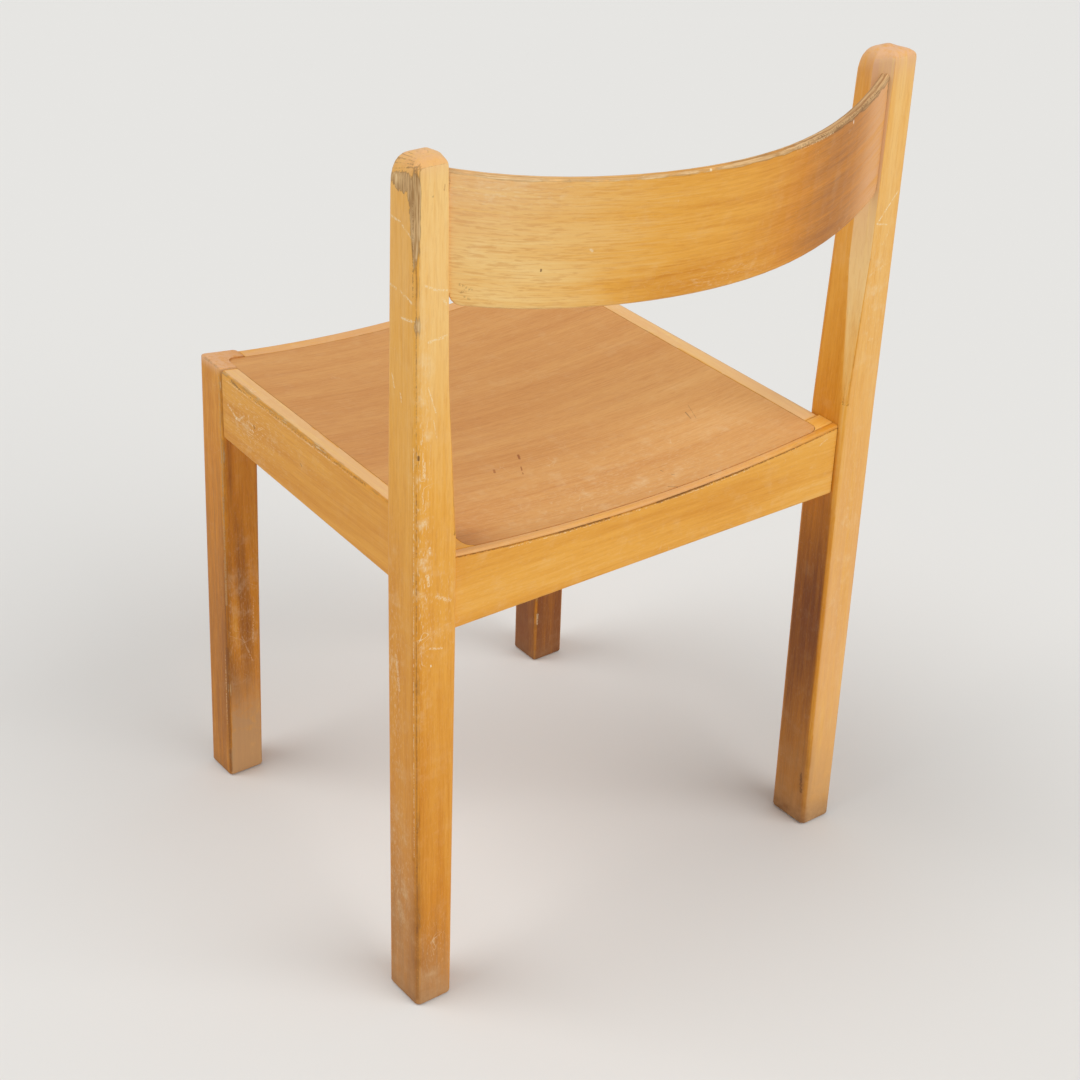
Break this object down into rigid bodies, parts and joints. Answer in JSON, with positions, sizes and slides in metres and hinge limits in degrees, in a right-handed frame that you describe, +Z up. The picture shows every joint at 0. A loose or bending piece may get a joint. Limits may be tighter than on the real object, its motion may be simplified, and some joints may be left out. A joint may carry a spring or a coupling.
{
  "type": "worn lacquered wooden chair",
  "caption": "Small armless stacking chair in clear-lacquered beech, with a dished inset seat and a curved laminated backrest; worn, scratched and dusty.",
  "frame": {"origin": "on the floor, under the middle of the chair's bounding box", "axes": "+Z up; the front of the chair faces -Y; +X is the sitter's left"},
  "size_m": [0.495, 0.494, 0.7699],
  "materials": {
    "amber_wood": "amber lacquer, satin, worn and scratched",
    "tan_wood": "clear lacquer, satin, scuffed",
    "seat_wood": "clear lacquer worn thin, dull",
    "pale_wood": "bare, unfinished",
    "screw_steel": "plain zinc"
  },
  "bodies": {
    "root": {"backrest": "tan_wood", "corner_block_front_left": "pale_wood", "corner_block_front_right": "pale_wood", "corner_block_rear_left": "pale_wood", "corner_block_rear_right": "pale_wood", "dowel_backrest_left_1": "pale_wood", "dowel_backrest_left_2": "pale_wood", "dowel_backrest_right_1": "pale_wood", "dowel_backrest_right_2": "pale_wood", "dowel_leg_front_rail_left_1": "pale_wood", "dowel_leg_front_rail_left_2": "pale_wood", "dowel_leg_front_rail_right_1": "pale_wood", "dowel_leg_front_rail_right_2": "pale_wood", "dowel_leg_side_rail_left_1": "pale_wood", "dowel_leg_side_rail_left_2": "pale_wood", "dowel_leg_side_rail_right_1": "pale_wood", "dowel_leg_side_rail_right_2": "pale_wood", "dowel_post_rear_rail_left_1": "pale_wood", "dowel_post_rear_rail_left_2": "pale_wood", "dowel_post_rear_rail_right_1": "pale_wood", "dowel_post_rear_rail_right_2": "pale_wood", "dowel_side_rail_rear_rail_left_1": "pale_wood", "dowel_side_rail_rear_rail_left_2": "pale_wood", "dowel_side_rail_rear_rail_right_1": "pale_wood", "dowel_side_rail_rear_rail_right_2": "pale_wood", "front_leg_left": "amber_wood", "front_leg_right": "amber_wood", "front_rail": "tan_wood", "rear_lip": "tan_wood", "rear_post_left": "amber_wood", "rear_post_right": "amber_wood", "rear_rail": "tan_wood", "screw_front_left_1": "screw_steel", "screw_front_left_2": "screw_steel", "screw_front_right_1": "screw_steel", "screw_front_right_2": "screw_steel", "screw_rear_left_1": "screw_steel", "screw_rear_left_2": "screw_steel", "screw_rear_right_1": "screw_steel", "screw_rear_right_2": "screw_steel", "seat_panel": "seat_wood", "side_rail_left": "amber_wood", "side_rail_right": "amber_wood"}
  },
  "joints": []
}
